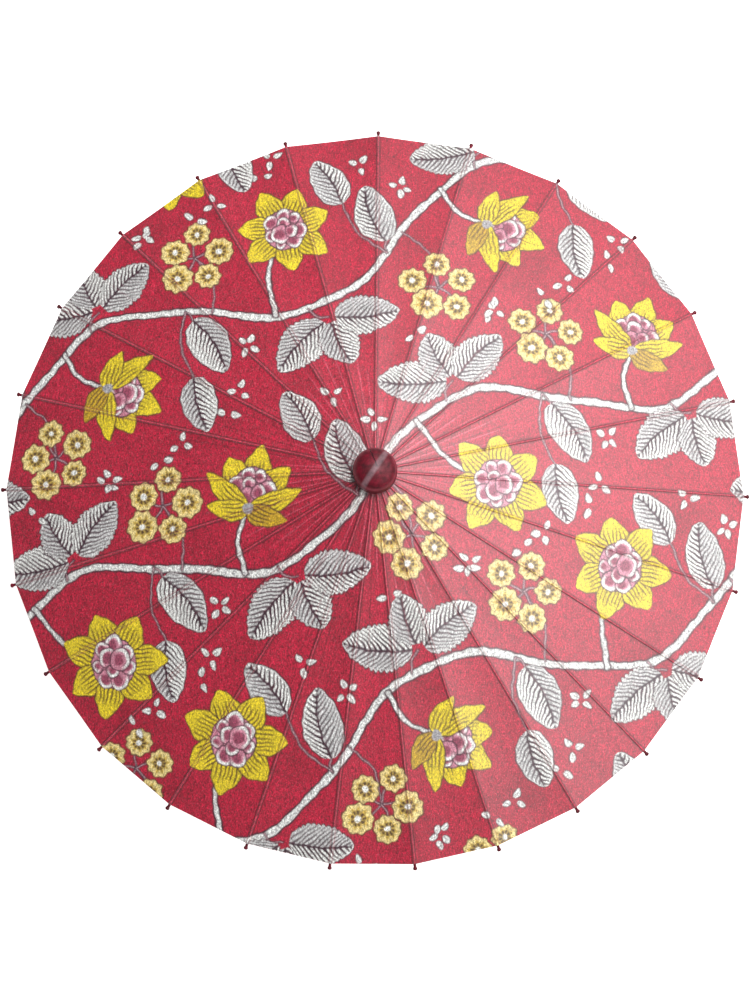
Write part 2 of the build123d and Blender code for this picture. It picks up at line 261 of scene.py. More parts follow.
def lacquer(name, cap):
    """Dark crimson lacquer over turned wood; the cap has a drying crack and a faint trace of the branch."""
    k = Nodes(name)
    place = object_place(k)
    x, y, z = k.xyz(place)
    out = k.math("SQRT", k.math("ADD", k.math("MULTIPLY", x, x), k.math("MULTIPLY", y, y)))
    turn = k.math("ARCTAN2", y, x)
    turned = k.combine(
        k.math("MULTIPLY", out, 900.0), k.math("MULTIPLY", turn, 1.2), k.math("MULTIPLY", z, 900.0)
    )
    rings = k.noise(turned, 1.0, 4.0)
    cloud = k.noise(place, 160.0, 4.0, 0.6)
    colour = k.ramp(cloud, (0.3, rgba(60, 4, 16)), (0.52, rgba(98, 8, 28)), (0.74, rgba(128, 16, 42)))
    if cap:
        specks = k.grey(k.noise(place, 1500.0, 2.0), 0.0, 0.55, (0.56, 0.7))
        colour = k.mix(specks, colour, rgba(40, 2, 10))
    colour = k.mix(k.grey(rings, 0.0, 0.35), colour, rgba(46, 4, 12))
    height = k.math("ADD", k.math("MULTIPLY", rings, 0.5), cloud)
    if cap:
        wave = k.noise(k.combine(0.0, k.math("MULTIPLY", y, 240.0), 0.0), 1.0, 3.0)
        slant = k.math("MULTIPLY_ADD", wave, -0.005, k.math("MULTIPLY_ADD", y, 0.42, -0.0006))
        crack = k.math("ABSOLUTE", k.math("ADD", x, slant))
        behind = k.grey(y, 0.0, 1.0, (0.0006, 0.002))
        line = k.math("MULTIPLY", k.grey(crack, 1.0, 0.0, (0.00025, 0.0007)), behind)
        colour = k.mix(line, colour, rgba(20, 2, 8))
        off_y = k.math("MULTIPLY", y, -math.cos(BRANCH_TURN))
        across = k.math("MULTIPLY_ADD", x, math.sin(BRANCH_TURN), off_y)
        band = k.grey(k.math("ABSOLUTE", across), 0.4, 0.0, (0.0016, 0.0040))
        colour = k.mix(k.math("MULTIPLY", band, k.grey(cloud, 0.5, 1.0)), colour, rgba(150, 140, 146))
        height = k.math("SUBTRACT", height, k.math("MULTIPLY", line, 3.0))
        # the cap's top rim is painted a paler pink
        low = k.math("SUBTRACT", z, CAP_SHOULDER_Z * MM)
        edge = k.grey(out, 0.0, 0.3, (0.0205, 0.0222))
        overlay = k.math("MULTIPLY", edge, k.grey(low, 0.0, 1.0, (-0.0012, 0.0)))
        colour = k.mix(overlay, colour, rgba(166, 60, 78))
    k.set("Base Color", colour)
    k.set("Roughness", k.grey(cloud, 0.6, 0.42))
    k.set("Specular IOR Level", 0.25)
    k.set("Coat Weight", 0.04)
    k.set("Coat Roughness", 0.3)
    k.set("Normal", k.bump(height, 0.00012))
    return k


def oil_paper(name, under):
    """Fibrous crinkled paper, crimson, with the print laid over it by the mesh's own ink, and painted shade
    and highlights along the folds.
    """
    k = Nodes(name)
    plan = k.add("ShaderNodeUVMap", uv_map="plan").outputs[0]
    ink = k.add("ShaderNodeAttribute", attribute_name="ink")
    crease = k.add("ShaderNodeAttribute", attribute_name="line").outputs["Fac"]
    mottle = k.noise(plan, 14.0, 4.0, 0.6)
    pulp = k.noise(plan, 560.0, 2.0, 0.65, 0.6)
    tilted = k.vector("MULTIPLY", plan, (1.0, 0.4, 1.0))
    fibre = k.noise(tilted, 760.0, 2.0, 0.65, 1.0)
    cells = k.add("ShaderNodeTexVoronoi", feature="DISTANCE_TO_EDGE")
    stray = k.combine(k.math("MULTIPLY", pulp, 1.4), k.math("MULTIPLY", fibre, 1.4), 0.0)
    k.join(k.vector("ADD", k.vector("MULTIPLY", tilted, (150.0, 190.0, 1.0)), stray), cells.inputs["Vector"])
    cells.inputs["Scale"].default_value = 1.0
    crinkle = k.grey(cells.outputs["Distance"], 0.0, 1.0, (0.0, 0.22))
    deep, mid, pale = (154, 4, 38), (180, 12, 50), (200, 52, 84)
    if under:
        deep, mid, pale = (186, 70, 84), (206, 92, 104), (226, 130, 134)
    base = k.ramp(mottle, (0.3, rgba(*deep)), (0.5, rgba(*mid)))
    base = k.mix(k.grey(pulp, 0.0, 0.5, (0.52, 0.78)), base, rgba(*pale))
    base = k.mix(k.grey(fibre, 0.0, 0.4, (0.5, 0.28)), base, rgba(*(int(c * 0.62) for c in deep)))
    # the crinkle's edges, the valleys of its bump, are painted darker as shade
    base = k.mix(k.grey(crinkle, 0.3, 0.0, (0.0, 1.0)), base, rgba(*(int(c * 0.75) for c in deep)))
    # painted shade along the folds, and a painted highlight where the line value is below 0
    shade = k.grey(crease, 0.0, 0.95, (0.0, 1.0))
    base = k.mix(shade, base, rgba(104, 2, 26) if not under else rgba(138, 44, 58))
    base = k.mix(k.grey(crease, 0.65, 0.0, (-1.0, 0.0)), base, rgba(224, 110, 132))
    strength = 1.0 if not under else 0.4
    # the print is dimmed under the same painted shade; on the underside it also shows through more weakly
    over = k.math("SUBTRACT", 1.0, k.math("MULTIPLY", shade, 0.45))
    cover = k.math("MULTIPLY", k.math("MULTIPLY", ink.outputs["Alpha"], over), strength)
    kept = k.vector("MULTIPLY", base, k.combine(*(3 * [k.math("SUBTRACT", 1.0, cover)])))
    overlay = k.vector("MULTIPLY", ink.outputs["Color"], k.combine(*(3 * [k.math("MULTIPLY", over, strength)])))
    colour = k.vector("ADD", kept, overlay)
    both = k.math("ADD", k.math("MULTIPLY", pulp, 0.5), k.math("MULTIPLY", fibre, 0.5))
    streak = k.noise(k.vector("MULTIPLY", plan, (1.0, 0.2, 1.0)), 330.0, 3.0, 0.6, 1.5)
    least, most = (0.72, 1.2) if under else (0.36, 1.6)
    streaks = k.grey(streak, 0.82, 1.16, (0.34, 0.64))
    grain = k.math("MULTIPLY", k.grey(both, least, most, (0.36, 0.64)), streaks)
    colour = k.vector("MULTIPLY", colour, k.combine(grain, grain, grain))
    lint = k.noise(tilted, 900.0, 2.0, 0.65)
    colour = k.mix(k.grey(lint, 0.0, 0.3, (0.58, 0.8)), colour, rgba(232, 160, 172))
    k.set("Base Color", colour)
    k.set("Roughness", k.grey(pulp, 0.48, 0.36))
    k.set("Specular IOR Level", 0.9)
    k.set("Coat Weight", 0.6)
    k.set("Coat Roughness", 0.33)
    k.set("Coat IOR", 1.6)
    first = k.bump(crinkle, 0.00012, 0.6)
    k.set("Normal", k.bump(k.math("ADD", pulp, fibre), 0.00014, 0.8, first))
    return k


# ---------------------------------------------------------------- the print
WHITE = linear(222, 223, 219)
GREY = linear(158, 156, 160)
PLUM = linear(56, 20, 38)
YELLOW = linear(218, 194, 30)
GOLD = linear(186, 150, 26)
OCHRE = linear(80, 50, 16)
CREAM = linear(224, 202, 134)
PINK = linear(196, 128, 146)
ROSE = linear(132, 40, 70)
STEM = linear(186, 150, 156)
UMBER = linear(60, 32, 20)


def soft(d, edge=0.55):
    """1 inside (d below 0), 0 outside, with a soft edge."""
    return np.clip(0.5 - d / (2 * edge), 0, 1)


class Ink:
    """The pattern on a cloud of points, given by their plan x and y in millimetres."""

    def __init__(self, x, y):
        wobble = 0.55 * np.sin(x * 0.31 + 1.3 * np.sin(y * 0.17)) + 0.35 * np.sin(y * 0.47 + x * 0.11)
        wobble_y = 0.55 * np.sin(y * 0.29 + 1.1 * np.sin(x * 0.19)) + 0.35 * np.sin(x * 0.43 - y * 0.13)
        self.x, self.y = x + wobble, y + wobble_y
        self.rgb = np.zeros((len(x), 3))
        self.cover = np.zeros(len(x))

    def near(self, cx, cy, reach):
        at = np.flatnonzero((np.abs(self.x - cx) < reach) & (np.abs(self.y - cy) < reach))
        return at, self.x[at] - cx, self.y[at] - cy

    def lay(self, at, share, colour):
        share = np.clip(share, 0, 1)
        self.rgb[at] = self.rgb[at] * (1 - share[:, None]) + colour * share[:, None]
        self.cover[at] = self.cover[at] * (1 - share) + share

    def stroke(self, points, start, end, colour, edge_colour=None, edge=1.7):
        """A smooth line through the points whose width runs from start to end."""
        p = np.array(points, float)
        ends = np.vstack([2 * p[0] - p[1], p, 2 * p[-1] - p[-2]])
        fine = []
        for a, b, c, d in zip(ends, ends[1:], ends[2:], ends[3:]):
            n = max(3, int(np.linalg.norm(c - b) / 5))
            for t in np.linspace(0, 1, n, endpoint=False):
                square, cube = 2 * a - 5 * b + 4 * c - d, 3 * b - a - 3 * c + d
                fine.append(0.5 * (2 * b + (c - a) * t + square * t**2 + cube * t**3))
        fine = np.array(fine + [p[-1]])
        centre, reach = (fine.max(0) + fine.min(0)) / 2, np.ptp(fine, axis=0).max() / 2 + 12
        at, x, y = self.near(*centre, reach)
        best, width = np.full(len(at), 1e9), np.full(len(at), start)
        last, margin = len(fine) - 1, 9
        for i in range(last):
            a, b = fine[i] - centre, fine[i + 1] - centre
            low, high = np.minimum(a, b) - margin, np.maximum(a, b) + margin
            k = np.flatnonzero((x > low[0]) & (x < high[0]) & (y > low[1]) & (y < high[1]))
            ab = b - a
            t = np.clip(((x[k] - a[0]) * ab[0] + (y[k] - a[1]) * ab[1]) / (ab @ ab), 0, 1)
            d = np.hypot(x[k] - a[0] - t * ab[0], y[k] - a[1] - t * ab[1])
            closer = d < best[k]
            best[k[closer]] = d[closer]
            width[k[closer]] = start + (end - start) * (i + t[closer]) / last
        if edge_colour is not None:
            self.lay(at, soft(best - width / 2 - edge, 0.8) * 0.95, edge_colour)
        self.lay(at, soft(best - width / 2 + 0.2), colour)
        if edge_colour is not None and start > 3:
            fleck = np.sin(x * 0.9 + 2 * np.sin(y * 0.33)) * np.sin(y * 0.8 + x * 0.21) > 0.3
            self.lay(at, soft(best - width / 2 + 0.5) * fleck * 0.6, GREY)

    def leaf(self, root, tip, width, bend=0.0, shade=1, spacing=6.3, teeth=0.0):
        """A leaf from its stalk to its tip: one half hatched with veins, one half shaded."""
        root, tip = np.array(root, float), np.array(tip, float)
        length = np.linalg.norm(tip - root)
        along = (tip - root) / length
        mid = (root + tip) / 2
        at, x, y = self.near(*mid, length * 0.62 + width)
        x, y = x + mid[0] - root[0], y + mid[1] - root[1]
        q = (x * along[0] + y * along[1]) / length
        inside = np.clip(q, 0.0, 1.0)
        arch = bend * length * np.sin(np.pi * inside)
        straight = -x * along[1] + y * along[0] - 0.3 * arch
        s = straight - 0.7 * arch
        half = 0.56 * width * np.sin(np.pi * inside**0.86) ** 0.6 * (1 - 0.16 * inside)
        half = half * (1 + teeth * np.abs(np.sin(q * length * 0.55)))
        d = np.where((q < 0) | (q > 1), 9, np.abs(straight) - half)
        self.lay(at, soft(d - 1.5, 0.7) * 0.92, PLUM)
        self.lay(at, soft(d + 0.1), WHITE)
        side = s * shade
        self.lay(at, soft(d + 0.6) * soft(-side) * 0.45, GREY)
        reach = np.abs(s) / np.maximum(half, 1)
        sweep = q * length - np.abs(s) * (0.75 + 0.35 * reach)
        gap = np.abs((sweep / spacing) % 1 - 0.5) * spacing
        vein = soft(gap - 1.6 + 0.8 * reach, 0.45) * np.where(side > 0, 0.85, 1.0)
        self.lay(at, soft(d + 1.4) * vein, PLUM)
        self.lay(at, soft(d + 0.3) * soft(np.abs(s) - 1.2) * soft(q - 0.93, 0.03), PLUM)

    def petal(self, at, x, y, angle, inner, outer, width, curve=0.0, colour=YELLOW):
        """One pointed petal in place, with an outline and fine lines towards its base."""
        c, sn = math.cos(angle), math.sin(angle)
        q = (x * c + y * sn - inner) / (outer - inner)
        s = -x * sn + y * c - curve * np.clip(q, 0, 1) ** 2 * (outer - inner)
        inside = np.clip(q, 0, 1)
        half = width / 2 * np.sin(np.pi * inside**0.9) ** 0.7 * (1.12 - 0.3 * inside)
        d = np.where((q < -0.02) | (q > 1), 9, np.abs(s) - half)
        self.lay(at, soft(d - 1.5, 0.7) * 0.95, OCHRE)
        self.lay(at, soft(d + 0.1), colour)
        line = soft(np.abs((s / 4.4) % 1 - 0.5) * 4.4 - 0.8, 0.5)
        self.lay(at, soft(d + 1.2) * line * soft(q - 0.62 - 0.06 * np.sin(s * 1.9), 0.08) * 0.9, OCHRE)

    def heart(self, at, x, y, radius, tall, turn):
        """The mottled middle of a flower: small pale lobes with rose shadows."""
        r = np.hypot(x, y / tall)
        self.lay(at, soft(r - radius - 1.2), PLUM)
        self.lay(at, soft(r - radius), PINK)
        for ring, lobes, size in ((0.74, 7, 0.36), (0.32, 3, 0.4)):
            for k in range(lobes):
                a = turn + 1.9 * ring + 2 * math.pi * k / lobes + 0.25 * math.sin(3.1 * k)
                cx, cy = ring * radius * math.cos(a), ring * radius * tall * math.sin(a)
                u, v = x - cx, (y - cy) / tall
                d = np.hypot(u, v)
                own = size * radius * (1 + 0.25 * math.sin(5 * a + ring))
                outward = (u * math.cos(a) + v * math.sin(a)) / own
                self.lay(at, soft(d - own - 0.3) * 0.95, PLUM)
                self.lay(at, soft(d - own + 1.0), PINK)
                crescent = soft(np.abs(d - own + 2.4) - 1.5) * np.clip(0.35 + 1.6 * outward, 0, 1)
                self.lay(at, crescent, WHITE)
                self.lay(at, soft(np.hypot(u + 1.5, v) - own * 0.5, 1.0) * 0.85, ROSE)

    def open_flower(self, cx, cy, radius, turn, petals=7):
        at, x, y = self.near(cx, cy, radius * 1.1)
        for k in range(petals):
            a = turn + 2 * math.pi * k / petals
            long = radius * (1.0 if k % 2 else 0.93)
            self.petal(at, x, y, a, radius * 0.27, long, radius * 0.54, 0.07 * (-1) ** k)
        self.heart(at, x, y, radius * 0.4, 1.1, turn)

    def side_flower(self, cx, cy, facing, size):
        """A flower seen from the side: a fan of petals that opens towards facing."""
        at, x, y = self.near(cx, cy, size * 1.15)
        for k, turn in enumerate((0.0, -0.55, 0.55)):
            long = size * (1.0 - 0.12 * (k > 0))
            self.petal(at, x, y, facing + turn, size * 0.2, long, size * 0.46, 0.1 * turn)
        out = 0.26 * size
        self.heart(at, x - out * math.cos(facing), y - out * math.sin(facing), size * 0.34, 1.1, facing)
        for turn in (-1.25, 1.25, -2.0, 2.0):
            long = size * (0.86 if abs(turn) < 1.5 else 0.62)
            colour = GOLD if turn < -1.5 else YELLOW
            self.petal(at, x, y, facing + turn, 0.0, long, size * 0.34, -0.16 * turn, colour)
        self.lay(at, soft(np.hypot(x, y) - 0.08 * size), GREY)

    def blossom(self, cx, cy, radius, turn):
        at, x, y = self.near(cx, cy, radius * 1.3)
        r, a = np.hypot(x, y), np.arctan2(y, x) + turn
        rim = radius * (0.96 + 0.06 * np.cos(9 * a))
        self.lay(at, soft(r - rim - 0.9, 0.7) * 0.9, OCHRE)
        self.lay(at, soft(r - rim + 0.5), CREAM)
        ray = soft(np.abs(np.sin(4.5 * a)) * r - 1.1)
        self.lay(at, ray * soft(r - radius * 0.94) * 0.7, OCHRE)
        self.lay(at, soft(r - radius * (0.6 + 0.12 * np.cos(9 * a)), 0.9) * 0.75, GOLD)
        spokes = 0.65 + 0.35 * np.cos(9 * a)
        self.lay(at, soft(np.abs(r - radius * 0.36) - 2.0) * spokes, UMBER)
        self.lay(at, soft(r - radius * 0.2), WHITE)

    def bud(self, cx, cy, angle, length, width):
        at, x, y = self.near(cx, cy, length)
        c, s = math.cos(math.radians(angle)), math.sin(math.radians(angle))
        q, t = (x * c + y * s) / length + 0.5, -x * s + y * c
        half = width / 2 * np.sin(np.pi * np.clip(q, 0, 1) ** 0.75) ** 0.7
        d = np.where((q < 0) | (q > 1), 5, np.abs(t) - half)
        self.lay(at, soft(d - 1.3, 0.7) * 0.85, PLUM)
        self.lay(at, soft(d), WHITE)
        self.lay(at, soft(d + 0.8) * soft(np.abs(t) - 0.5) * soft(q - 0.55, 0.1) * 0.6, PLUM)

    def spray(self, cx, cy, turn, count, reach=9.0):
        """A few loose buds around one point."""
        for k in range(count):
            a = turn + 360 / count * k + 14 * math.sin(cx + 2.3 * k)
            u = math.radians(a)
            self.bud(cx + reach * math.cos(u), cy + reach * math.sin(u), a, 10.5, 6.2)


class Band:
    """One waving branch of the repeat, and what grows on it."""

    def __init__(self, ink, number):
        self.ink, self.number = ink, number
        self.start = BAND_SHIFT * number

    def place(self, along, off):
        """Plan x and y of a point along the band and off to its left."""
        c, s = math.cos(BAND_LEAN), math.sin(BAND_LEAN)
        across = self.number * BAND + off
        return along * c - across * s, along * s + across * c

    def height(self, along):
        return WAVE_HEIGHT * math.sin(math.pi * (along - self.start) / HALF_WAVE)

    def branch(self):
        first, last = HALF_WAVES[0], HALF_WAVES[-1] + 1
        steps = np.arange(self.start + HALF_WAVE * first, self.start + HALF_WAVE * last, HALF_WAVE / 8)
        path = [self.place(u, self.height(u) + 3 * math.sin(u / 19)) for u in steps]
        self.ink.stroke(path, BRANCH_WIDTH, BRANCH_WIDTH, WHITE, PLUM)

    def twig(self, root, tip, bow, thick=False):
        """A side shoot between two points of the band, bowed to its left."""
        a, b = np.array(root), np.array(tip)
        middle = (a + b) / 2 + bow * np.array([a[1] - b[1], b[0] - a[0]])
        path = [self.place(*a), self.place(*middle), self.place(*b)]
        if thick:
            self.ink.stroke(path, 4.8, 3.2, WHITE, PLUM)
        else:
            self.ink.stroke(path, 1.5, 1.1, STEM, PLUM, 1.0)

    def leaves(self, begin, up, sway):
        """Three leaves on one twig outside the crest, and two in the hollow."""
        crest = begin + HALF_WAVE / 2 + 8 * sway
        fork = (crest + 4, up * (WAVE_HEIGHT + 17))
        self.twig((crest - 12, self.height(crest - 12)), fork, 0.2 * up)
        for angle, long, width in ((158, 82, 43), (92, 62, 38), (22, 78, 40)):
            turn = math.radians(angle + 7 * sway)
            tip = (fork[0] + long * math.cos(turn), fork[1] + up * long * math.sin(turn))
            root = (fork[0] + 7 * math.cos(turn), fork[1] + up * 7 * math.sin(turn))
            shade = up if angle > 90 else -up
            self.ink.leaf(self.place(*root), self.place(*tip), width, 0.06 * up, shade, 5.8, 0.13)
        foot = begin + HALF_WAVE * 0.89
        self.twig((foot, self.height(foot)), (foot + 5, up * 2), 0.1)
        self.ink.leaf(self.place(foot + 5, up * 2), self.place(foot + 16 + 7 * sway, -up * 72), 42, 0.08, up)
        low = (foot - 20, -up * 62)
        self.twig((foot, self.height(foot)), low, -0.12 * up)
        self.ink.leaf(self.place(*low), self.place(low[0] - 12 - 8 * sway, -up * 126), 38, -0.07, -up)

    def flower(self, begin, up, sway, from_side):
        crest = begin + HALF_WAVE / 2
        root = (crest - 52, self.height(crest - 52))
        centre = (crest + 2 + 5 * sway, -up * (FLOWER_RADIUS + 1))
        if from_side:
            foot = (crest - 22, -up * 26)
            self.twig(root, foot, -0.15 * up, True)
            facing = math.atan2(centre[1] - foot[1] - up * 12, centre[0] - foot[0] + 14) + BAND_LEAN
            self.ink.side_flower(*self.place(*foot), facing, FLOWER_RADIUS * 1.2)
        else:
            self.twig(root, centre, -0.12 * up, True)
            self.ink.open_flower(*self.place(*centre), FLOWER_RADIUS + 3 * sway, 1.5 + 0.4 * sway)

    def cluster(self, begin, up, sway):
        """Round blossoms on thin stems."""
        centre = (begin + 10, -up * (74 + 4 * sway))
        self.twig((begin + 2, self.height(begin + 2)), centre, 0.15 * up)
        for k in range(5):
            turn = math.radians(72 * k + 50 * sway + 20)
            reach = CLUSTER_REACH * (1.0 + 0.12 * math.sin(2.4 * k))
            at = (centre[0] + reach * math.cos(turn), centre[1] + reach * math.sin(turn))
            self.twig(centre, at, 0.12)
            self.ink.blossom(*self.place(*at), 16.2 - 1.6 * math.sin(1.9 * k + sway), k + sway)

    def buds(self, begin, up, sway):
        """Loose buds in what is left open."""
        groups = (0.97, -0.80, 3), (0.10, 0.44, 4), (0.24, -1.0, 3), (0.84, 0.98, 2), (0.5, -1.06, 2)
        for along, off, count in groups:
            at = self.place(begin + HALF_WAVE * along, up * off * BAND / 2)
            self.ink.spray(*at, 70 * sway + 90 * along, count)

    def grow(self):
        self.branch()
        for k in HALF_WAVES:
            begin, up = self.start + HALF_WAVE * k, (-1) ** k
            sway = math.sin(2.3 * k + 1.7 * self.number)
            for part in (self.buds, self.leaves, self.cluster):
                part(begin, up, sway)
            self.flower(begin, up, sway, (k + self.number) % 2 == 1)


def draw_print(ink):
    """Every band of the repeat."""
    for number in BANDS:
        Band(ink, number).grow()


# ---------------------------------------------------------------- meshes
def mesh_object(name, points, triangles):
    """A mesh from millimetre points and triangle corner numbers."""
    points = np.asarray(points, float) * MM
    triangles = np.asarray(triangles, np.int32)
    mesh = bpy.data.meshes.new(name)
    mesh.vertices.add(len(points))
    mesh.vertices.foreach_set("co", points.ravel())
    mesh.loops.add(triangles.size)
    mesh.loops.foreach_set("vertex_index", triangles.ravel())
    mesh.polygons.add(len(triangles))
    mesh.polygons.foreach_set("loop_start", np.arange(0, triangles.size, 3, dtype=np.int32))
    mesh.update(calc_edges=True)
    mesh.validate()
    mesh.polygons.foreach_set("use_smooth", np.full(len(mesh.polygons), True))
    ob = bpy.data.objects.new(name, mesh)
    bpy.context.scene.collection.objects.link(ob)
    return ob


def zipper(counts):
    """Triangles between rows of points, each row with its own count."""
    out, start = [], 0
    for n, m in zip(counts, counts[1:]):
        low, high = start, start + n
        i = j = 0
        while i < n - 1 or j < m - 1:
            step_low = j == m - 1 or (i < n - 1 and (i + 1) / (n - 1) <= (j + 1) / (m - 1))
            if step_low:
                out.append((low + i, low + i + 1, high + j))
                i += 1
            else:
                out.append((low + i, high + j + 1, high + j))
                j += 1
        start = high
    return np.array(out, np.int32)


WIDEST_HALF_GAP = math.radians(7.55)


def rows_for(step):
    """Rows out from the head and the point count of each, for half a panel."""
    along = np.linspace(PAPER_IN, PAPER_OUT, int((PAPER_OUT - PAPER_IN) / step) + 1)
    width = along * math.tan(WIDEST_HALF_GAP) - STRIP_HALF
    return along, np.maximum(2, np.ceil(width / step).astype(int) + 1)


def fold_shade_and_highlight(x, y, from_rib, from_crease, radius):
    """Fold lines painted in as light and shade, from 1, painted shade, to -1, painted highlight: beside each
    rib, at the crease and in pleats at the head.
    """
    angle = np.degrees(np.arctan2(y, x))
    # beside each rib the paper is darker where it is glued over the rib's edge, and it is painted darker
    # still as shade
    rib = soft(from_rib - 1.1, 0.6)
    # painted shade in the crease down the middle of the half panel
    crease = soft(from_crease - 0.25, 0.5) * np.clip(0.32 + 0.12 * np.sin(radius * 0.05 + angle), 0, 1)
    pleat = np.zeros(len(x))
    # painted shade in the pleats at the head, and painted highlights beside them
    pleat_shade = (50, 84, 0.0, 1), (75, 126, 0.8, 1), (50, 210, 0.3, 1)
    pleat_highlights = (50, 96, 0.55, -1), (75, 150, 0.97, -1)
    for n, reach, start, tone in (*pleat_shade, *pleat_highlights):
        phase = angle * n / 360 + start
        own = np.floor(phase)
        fade = np.clip((reach * (0.7 + 0.4 * np.sin(own * 12.9)) - radius) / 30, 0, 1)
        off = np.abs(phase % 1 - 0.5) * 2 * math.pi * radius / n
        mark = soft(off - 0.4, 0.5) * fade
        pleat = np.where(mark > np.abs(pleat), mark * tone * 0.85, pleat)
    dark = np.maximum.reduce([rib, crease, pleat])
    return np.where((pleat < 0) & (dark < 0.2), pleat, np.clip(dark, 0, 1))


hinges = {j["name"]: j for j in frame["joints"]}
azimuths = []
for i in range(RIBS):
    at = hinges[f"rib_{i + 1:02d}_hinge"]["pos_m"]
    azimuths.append(math.atan2(at[1], at[0]))

# the print needs a finer grid on top than it does where it only shows through
TOP_LIFT, TOP_STEP = 0.42, 1.05
UNDER_LIFT, UNDER_STEP = 0.06, 2.6
along_fine, counts_fine = rows_for(TOP_STEP)
along_under, counts_under = rows_for(UNDER_STEP)
faces_fine, faces_under = zipper(counts_fine), zipper(counts_under)


# a half panel falls a little from its rib to the crease, and sags in between
CREASE_FALL, SAG_SHARE = 0.03, 0.25 / 40


def half_panel(azimuth, half_angle, side, along, counts, lift):
    """Points of one half panel: from the strip over its rib to the crease in the middle."""
    middle = azimuth + side * half_angle
    e = np.array([math.cos(middle), math.sin(middle)])
    t = np.array([-math.sin(middle), math.cos(middle)]) * -side
    out, share = [], []
    rho = along * math.cos(half_angle)
    for r, n in zip(rho, counts):
        f = np.linspace(0, 1, n)
        reach = r * math.tan(half_angle) - STRIP_HALF / math.cos(half_angle)
        across = reach * (1 - f)
        out.append(np.column_stack([np.full(n, r), across, np.full(n, reach)]))
        share.append(f)
    p, f = np.vstack(out), np.concatenate(share)
    xy = p[:, :1] * e + p[:, 1:2] * t
    z = PAPER_Z + PIVOT_R * SLOPE - p[:, 0] * SLOPE / math.cos(half_angle) + lift
    from_rib = p[:, 2] - p[:, 1]
    z = z - (CREASE_FALL * from_rib + SAG_SHARE * np.sin(np.pi * f) * p[:, 2])
    return np.column_stack([xy, z]), from_rib, p[:, 1], np.hypot(xy[:, 0], xy[:, 1])


paper_parts = []
turns = [(azimuths[i] - azimuths[(i + 1) % RIBS]) % (2 * math.pi) for i in range(RIBS)]
for i in range(RIBS):
    for side, gap in ((-1, turns[i]), (1, turns[i - 1])):
        top = half_panel(azimuths[i], gap / 2, side, along_fine, counts_fine, TOP_LIFT)
        low = half_panel(azimuths[i], gap / 2, side, along_under, counts_under, UNDER_LIFT)
        paper_parts.append((i, side, top, low))

# strips of paper glued over each rib, with a soft ridge
STRIP_ROWS, STRIP_FALL = 377, 0.051
strip_rows = np.linspace(PAPER_IN, PAPER_OUT, STRIP_ROWS)
strip_across = np.array([-1.0, -0.72, -0.34, 0.0, 0.34, 0.72, 1.0]) * STRIP_HALF
strip_rise = np.array([0.0, 0.55, 0.95, 1.08, 0.95, 0.55, 0.0])
STRIP_COLUMNS = len(strip_across)
strip_parts = []
for i in range(RIBS):
    e = np.array([math.cos(azimuths[i]), math.sin(azimuths[i])])
    t = np.array([-e[1], e[0]])
    r = np.repeat(strip_rows, STRIP_COLUMNS)
    s = np.tile(strip_across, STRIP_ROWS)
    ridge = np.tile(strip_rise, STRIP_ROWS)
    z = PAPER_Z - (r - PIVOT_R) * SLOPE + TOP_LIFT + ridge - STRIP_FALL * np.abs(s)
    strip_parts.append((np.column_stack([r[:, None] * e + s[:, None] * t, z]), r, s))
grid = np.arange(STRIP_ROWS * STRIP_COLUMNS).reshape(STRIP_ROWS, STRIP_COLUMNS)
a, b = grid[:-1, :-1].ravel(), grid[:-1, 1:].ravel()
c, d = grid[1:, 1:].ravel(), grid[1:, :-1].ravel()
strip_faces = np.vstack([np.column_stack([a, d, c]), np.column_stack([a, c, b])]).astype(np.int32)

# the print is worked out once for every paper point
everything = [p[2][0] for p in paper_parts] + [p[3][0] for p in paper_parts] + [p[0] for p in strip_parts]
ink = Ink(*np.vstack(everything)[:, :2].T)
draw_print(ink)
painted = np.column_stack([ink.rgb, ink.cover])
pieces_ink = np.split(painted, np.cumsum([len(q) for q in everything])[:-1])

PAPER_TOP = oil_paper("oil_paper", False).material
PAPER_UNDER = oil_paper("oil_paper_inside", True).material
TIP = lacquer("lacquer_tip", False).material


def dress(ob, plan, colours, lines):
    """Stores plan x and y, the ink and the fold lines' painted shade and highlight on a paper mesh."""
    mesh = ob.data
    corner = np.empty(len(mesh.loops), np.int32)
    mesh.loops.foreach_get("vertex_index", corner)
    layer = mesh.uv_layers.new(name="plan")
    layer.data.foreach_set("uv", (plan[corner] * MM).ravel())
    attribute = mesh.attributes.new("ink", "FLOAT_COLOR", "POINT")
    attribute.data.foreach_set("color", colours.astype(np.float32).ravel())
    attribute = mesh.attributes.new("line", "FLOAT", "POINT")
    attribute.data.foreach_set("value", lines.astype(np.float32))


